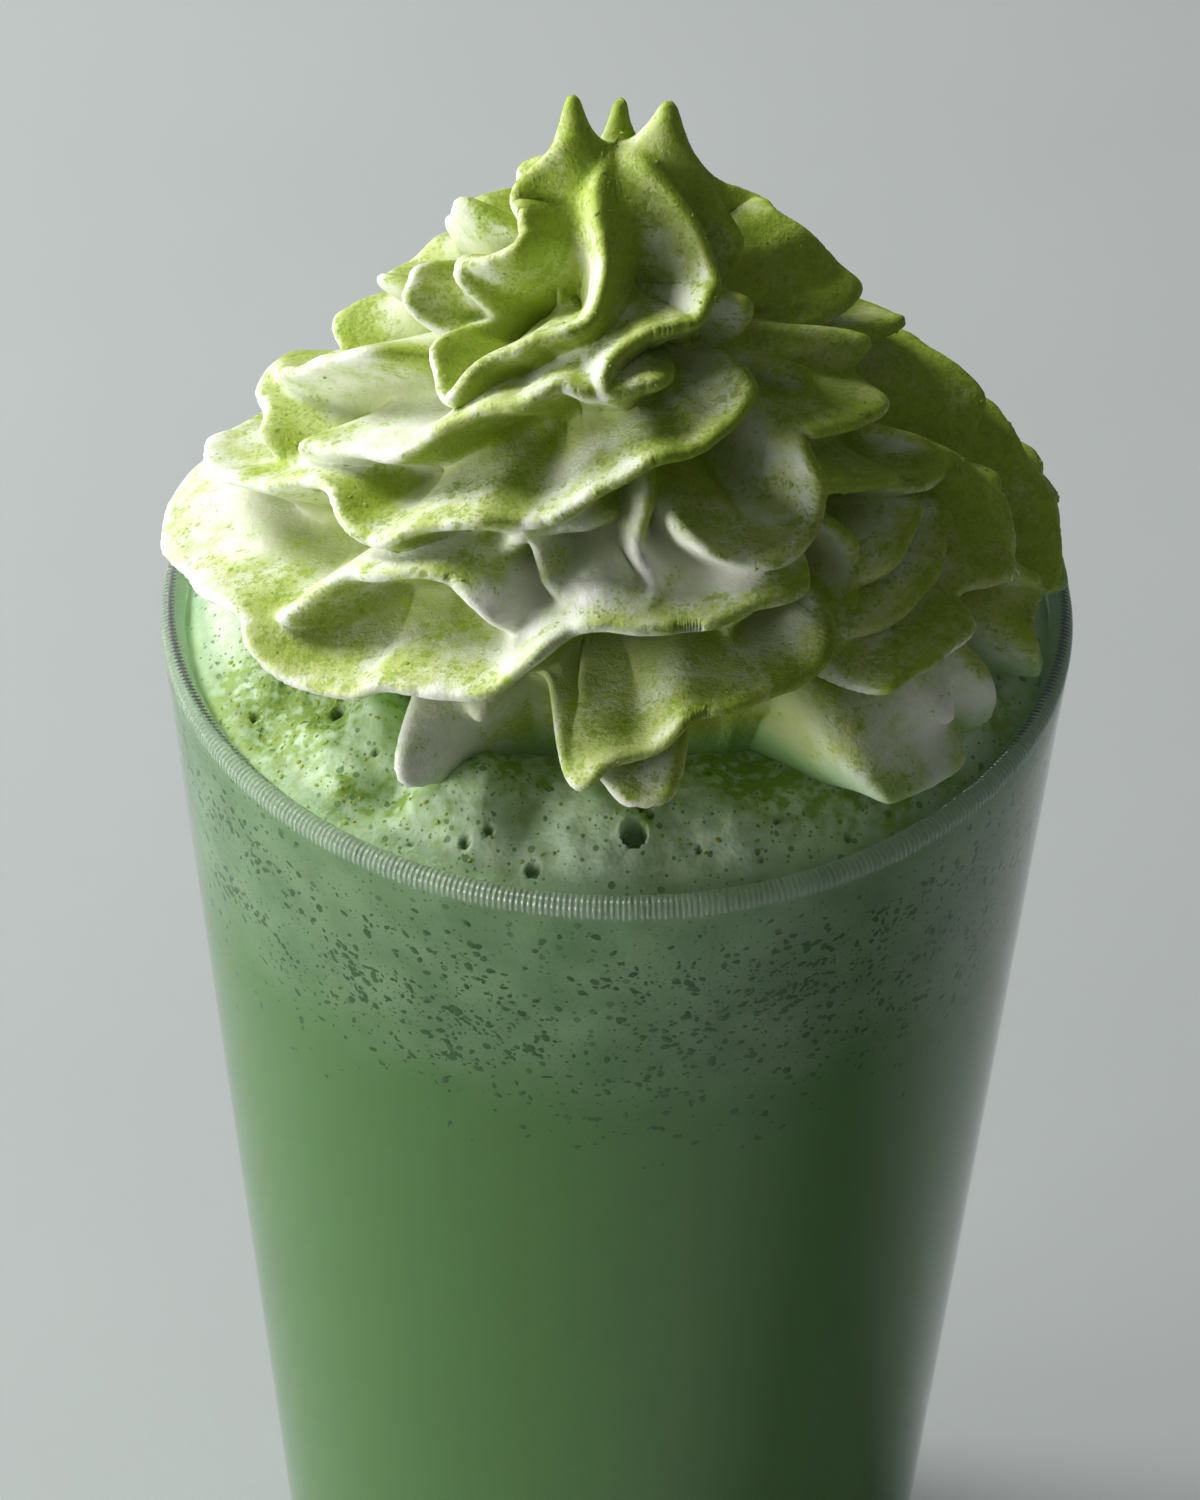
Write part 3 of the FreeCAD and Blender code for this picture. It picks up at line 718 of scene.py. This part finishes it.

# Green powder lies on what the sky sees, thickest on the top, and left the furrows and a few places under the
# folds bare. It is thicker on faces turned right, partly as painted shade on the unlit side, and thinner on the thin
# lips on the left, partly as painted light, and on faces turned to the window lamp, as painted light.
POWDER_RAYS = 9
POWDER_SLANT = 0.55     # the powder drifts down at up to this slope
POWDER_REACH = 25 * MM
PAINTED_LIGHT_FACING = Vector((-0.7, 0.25, 0.67))     # faces turned towards the window lamp lose powder by this share and look paler: painted light
PAINTED_LIGHT_PALING = 0.5
LEAST = 0.12            # powder that clings everywhere
LEAST_RIGHT = 0.52      # and more of it on faces turned right, partly painted shade on the unlit side
LIP_LOSS_AND_LIGHT = 0.35         # powder lost on the lips on the left, partly painted light where the lamps catch them
LIP_SHARE = 0.14        # what counts as a lip, as a share of the furrow's depth
TOP_GAIN = 0.25         # powder more on the top, over these heights over the rim
TOP_FROM, TOP_TO = 44 * MM, 54 * MM
SPLASH = 3.5 * MM       # froth has run up the cream's foot by up to this much more or less than on average
SHELTERED = [   # places that the powder missed: azimuth in degrees, height over the rim, width across and up, in mm
    (4, 28.6, 13, 3.0), (-18, 25, 6, 3), (-26, 6, 7, 6), (47, 7, 8, 8), (-57, 33, 6, 2.5), (-84, 15, 8, 5),
    (-80, 41, 5, 3)]


def sky_share(piece):
    """For each vertex of a piece, the share of the falling powder's directions that reach it past the piece."""
    mesh = piece.data
    tree = BVHTree.FromPolygons([v.co for v in mesh.vertices], [p.vertices for p in mesh.polygons])
    fall = [Vector((0, 0, 1))]
    for ray in range(POWDER_RAYS - 1):
        turn = 2 * math.pi * ray / (POWDER_RAYS - 1)
        slant = POWDER_SLANT * (1 if ray % 2 else 0.5)
        fall.append(Vector((slant * math.cos(turn), slant * math.sin(turn), 1)).normalized())
    shares = []
    for vertex in mesh.vertices:
        start = vertex.co + vertex.normal * 0.15 * MM
        facing = [ray for ray in fall if vertex.normal.dot(ray) > 0.02]
        clear = sum(vertex.normal.dot(ray) for ray in facing if tree.ray_cast(start, ray, POWDER_REACH)[0] is None)
        shares.append(clear / POWDER_RAYS)
    return shares


grid = CREAM_ROWS * CREAM_COLUMNS
dusted_and_lit = np.array(sky_share(cream))
missed_and_lit = np.ones(height.shape)
for place, over_rim, wide, tall in SHELTERED:
    beside = (np.degrees(azimuth) - place + 180) % 360 - 180
    beside = np.radians(beside) * np.interp(height, outline[:, 1], outline[:, 0]) / (wide * MM)
    above = (height - GLASS_HEIGHT - over_rim * MM) / (tall * MM)
    missed_and_lit *= 1 - 0.95 * np.exp(-(beside ** 2 + above ** 2))
sheltered = 1 - dusted_and_lit
rightward = np.array([vertex.normal.x for vertex in cream.data.vertices])
lamp_facing = np.array([vertex.normal.dot(PAINTED_LIGHT_FACING) for vertex in cream.data.vertices])
grid_spots = np.array(verts)
drift = turbulence(grid_spots[:, 0], grid_spots[:, 1], grid_spots[:, 2], 9 * MM, 11)
rightness = smoothstep(rightward, -0.4, 0.4)
# More powder on faces turned right: partly real, partly painted shade on the unlit side.
least = LEAST + LEAST_RIGHT * rightness * np.clip(0.95 + 1.2 * drift, 0.1, 1.5)
dusted_and_lit = least + (1 - least) * dusted_and_lit
# Painted light: faces turned to the window lamp lose powder and look paler.
dusted_and_lit *= 1 - PAINTED_LIGHT_PALING * smoothstep(lamp_facing, 0.3, 0.95)
lips = np.append(np.exp(-(furrow / LIP_SHARE) ** 2).ravel(), 0)
# The lips on the left lose powder and look paler: partly real, partly painted light where the lamps catch them.
missed_and_lit *= 1 - (LIP_LOSS_AND_LIGHT * lips * (1 - rightness))[:grid].reshape(height.shape)
dusted_and_lit[:grid] *= missed_and_lit.ravel()
dusted_and_lit += TOP_GAIN * smoothstep(grid_spots[:, 2], GLASS_HEIGHT + TOP_FROM, GLASS_HEIGHT + TOP_TO)
# Painted shade tints deep creases and unlit right faces olive, and paints the amber glow through the front recess.
painted_glow = bell(np.degrees(azimuth), 1, 6) * bell(height, GLASS_HEIGHT + 25.8 * MM, 1.8 * MM)
bare = missed_and_lit.ravel()
deep = smoothstep(furrow.ravel(), 0.2, 0.7) * np.maximum(0.35 + 0.65 * bare, painted_glow.ravel())
shaded = np.maximum(deep, rightness[:grid] * np.clip(0.5 + drift[:grid], 0, 0.8) * bare)
painted_shade_share = sheltered[:grid] * shaded
set_share(cream, "painted_shade", np.append(painted_shade_share, 0))
# Froth has run up the cream's foot by an uneven height.
splash = turbulence(cream_grid[..., 0], cream_grid[..., 1], azimuth * 0, 7 * MM, 10)
splash = cream_grid[..., 2] + SPLASH * splash
wetted = smoothstep(-splash, -GLASS_HEIGHT - 8.5 * MM, -GLASS_HEIGHT - 5 * MM) * missed_and_lit
set_share(cream, "wet", np.append(wetted.ravel(), 0))
# The powder share also carries the painted light and shade worked in above.
set_share(cream, "powder_and_painted_light", dusted_and_lit)
# Clots gather in drifts, and along the lips on the right.
clotted = turbulence(grid_spots[:, 0], grid_spots[:, 1], grid_spots[:, 2], 6 * MM, 8)
clotted = smoothstep(clotted, -0.1, 0.5) * np.clip(dusted_and_lit * 1.4 - 0.3, 0, 1)
lip_clots = 2.5 * lips * rightness * smoothstep(drift, -0.3, 0.3) * np.clip(dusted_and_lit, 0, 1)
set_share(cream, "clots", clotted + lip_clots)
# The mesh keeps its shape in fewer triangles.
fewer = cream.modifiers.new("fewer", "DECIMATE")
fewer.ratio = CREAM_TRIANGLES / (2 * len(faces))
fewer.use_collapse_triangulate = True
thinned = bpy.data.meshes.new_from_object(cream.evaluated_get(bpy.context.evaluated_depsgraph_get()))
cream.modifiers.clear()
cream.data = thinned

# Whipped cream: a fine fatty foam, satin and warm white, lit through at its thin lips. The powder is a thin film in
# drifts, deeper in colour where it is thicker, with grains of three sizes on it, the coarsest a clot of 1.3 mm.
whipped, tree, shader = new_material("whipped_cream")
coords = object_coords(tree)
drifts = calc(tree, "MULTIPLY_ADD", clouds(tree, coords, 5 * MM, 6.0, 0.72), 1.5, -0.75)
cover = calc(tree, "ADD", kept_share(tree, "powder_and_painted_light"), drifts)
ramp = add(tree, "ShaderNodeValToRGB", None, {0: rescale(tree, cover, 0.0, 0.75)})
POWDER_TONES = [    # share of powder, and its colour
    (0.0, "#EDECE2"), (0.25, "#DDE4CB"), (0.55, "#BFCB80"), (1.0, "#9FB43E")]
ramp.color_ramp.elements[0].color = linear(POWDER_TONES[0][1])
ramp.color_ramp.elements[1].color = linear(POWDER_TONES[-1][1])
for place, tone in POWDER_TONES[1:-1]:
    ramp.color_ramp.elements.new(place).color = linear(tone)
# Painted shade: dark olive in the creases and on the unlit right, and a painted glow in the front recess.
painted_shade = calc(tree, "MULTIPLY", kept_share(tree, "painted_shade"), 0.8)
colour = mix(tree, painted_shade, ramp.outputs[0], linear("#8F9F24"))
wet = calc(tree, "MULTIPLY", kept_share(tree, "wet"), 0.9)
colour = mix(tree, wet, colour, linear("#8DB873"))
patchy = rescale(tree, clouds(tree, coords, 3 * MM, 3.0), 0.4, 0.68, 0.3, 1.3)
heaped = calc(tree, "MULTIPLY", cover, patchy)
GRAINS = [  # size in mm, share of the surface where the powder is thickest, strength of the colour, colour
    (0.3, 0.7, 0.5, "#7F9C2B"), (0.7, 0.4, 0.55, "#8BA631"), (1.3, 0.16, 0.6, "#9FB92F")]
for size, share, strength, tone in GRAINS:
    grains = add(tree, "ShaderNodeTexVoronoi", None, {"Vector": coords, "Scale": 1 / (size * MM)})
    chance = add(tree, "ShaderNodeSeparateColor", None, {0: grains.outputs["Color"]}).outputs[0]
    thick = rescale(tree, heaped, 0.1, 1.0, 0.0, share)
    grain = calc(tree, "MULTIPLY", calc(tree, "LESS_THAN", chance, thick), strength)
    colour = mix(tree, grain, colour, linear(tone))
coarse = clouds(tree, coords, 1.2 * MM, 4.0, 0.7)
surface = add(tree, "ShaderNodeBump", None, {"Strength": 0.8, "Distance": 0.3 * MM, "Height": coarse})
tree.links.new(surface.outputs[0], shader.inputs["Normal"])
tree.links.new(colour, shader.inputs["Base Color"])
set_inputs(shader, {
    "Roughness": 0.6, "Specular IOR Level": 0.25, "Subsurface Weight": 0.2,
    "Subsurface Radius": (1.2, 1.0, 0.7), "Subsurface Scale": 1.0 * MM})
cream.data.materials.append(whipped)
cream_powder = strew("cream_powder", cream, where="clots", density=60.0, smallest=0.15, largest=0.8,
                     flatness=0.7, seed=13, material=ground_mint)
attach(cream_powder, "root")
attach(cream, "root")
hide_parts("whipped_cream")


# ---- Floor, light and camera ---------------------------------------------------------------
# A pale studio floor of paper. A soft lamp stands high behind on the left, as a window would, another low at the
# side, and a weak fill in front.
FLOOR_SIZE = 2.4
bpy.ops.mesh.primitive_plane_add(size=FLOOR_SIZE)
floor = bpy.context.object
floor.name = "floor"
# Uncoated studio paper: matt, even and pale grey, with a faint unevenness from its fibres.
floor.data.materials.append(tinted("pale_studio_paper", 60 * MM, 8.0, "#B9BEBD", "#BFC4C3", 0.9))

TARGET = Vector((0.0, 0.0, GLASS_HEIGHT))
LAMPS = [   # name, place and size in metres, watts
    ("window", (-0.76, 0.38, 0.84), 0.5, 14.0),
    ("side", (-0.95, -0.3, 0.04), 0.5, 13.5),
    ("fill", (0.8, -0.9, 0.9), 0.9, 0.2)]
for name, place, size, watts in LAMPS:
    lamp = bpy.data.lights.new(name, "AREA")
    lamp.size = size
    lamp.energy = watts
    lamp_object = bpy.data.objects.new(name, lamp)
    lamp_object.location = place
    lamp_object.rotation_euler = (TARGET - Vector(place)).to_track_quat("-Z", "Y").to_euler()
    bpy.context.scene.collection.objects.link(lamp_object)

# The room lights everything weakly. It is pale where it is seen, straight or through the glass.
ROOM_LIGHT = 0.18
ROOM_SEEN = 0.8
world = bpy.data.worlds.new("studio")
world.use_nodes = True
room = world.node_tree
sky = room.nodes["Background"]
sky.inputs[0].default_value = linear("#D5DAD9")
path = add(room, "ShaderNodeLightPath").outputs
direct = calc(room, "LESS_THAN", path["Diffuse Depth"], 0.5)
seen = calc(room, "MAXIMUM", path["Is Camera Ray"], path["Is Transmission Ray"])
seen = calc(room, "MULTIPLY", seen, direct)
room.links.new(rescale(room, seen, 0.0, 1.0, ROOM_LIGHT, ROOM_SEEN), sky.inputs[1])
bpy.context.scene.world = world

# The camera looks down past the rim from in front, a little rolled.
CAMERA_ELEVATION = math.radians(41.3)
CAMERA_DISTANCE = 0.610
CAMERA_ROLL = math.radians(1.0)
CAMERA_LENS = 148.8         # mm, on a sensor 36 mm high
AIM = Vector((-1.4 * MM, 0.0, GLASS_HEIGHT - 19.6 * MM))
away = Vector((0.0, -math.cos(CAMERA_ELEVATION), math.sin(CAMERA_ELEVATION)))
camera_data = bpy.data.cameras.new("camera")
camera_data.sensor_fit = "VERTICAL"
camera_data.sensor_height = 36.0
camera_data.lens = CAMERA_LENS
camera = bpy.data.objects.new("camera", camera_data)
across = Vector((1.0, 0.0, 0.0))
aimed = Matrix((across, across.cross(-away), away)).transposed() @ Matrix.Rotation(CAMERA_ROLL, 3, "Z")
camera.matrix_world = Matrix.Translation(AIM + away * CAMERA_DISTANCE) @ aimed.to_4x4()
bpy.context.scene.collection.objects.link(camera)
bpy.context.scene.camera = camera
bpy.context.scene.view_settings.view_transform = "Standard"
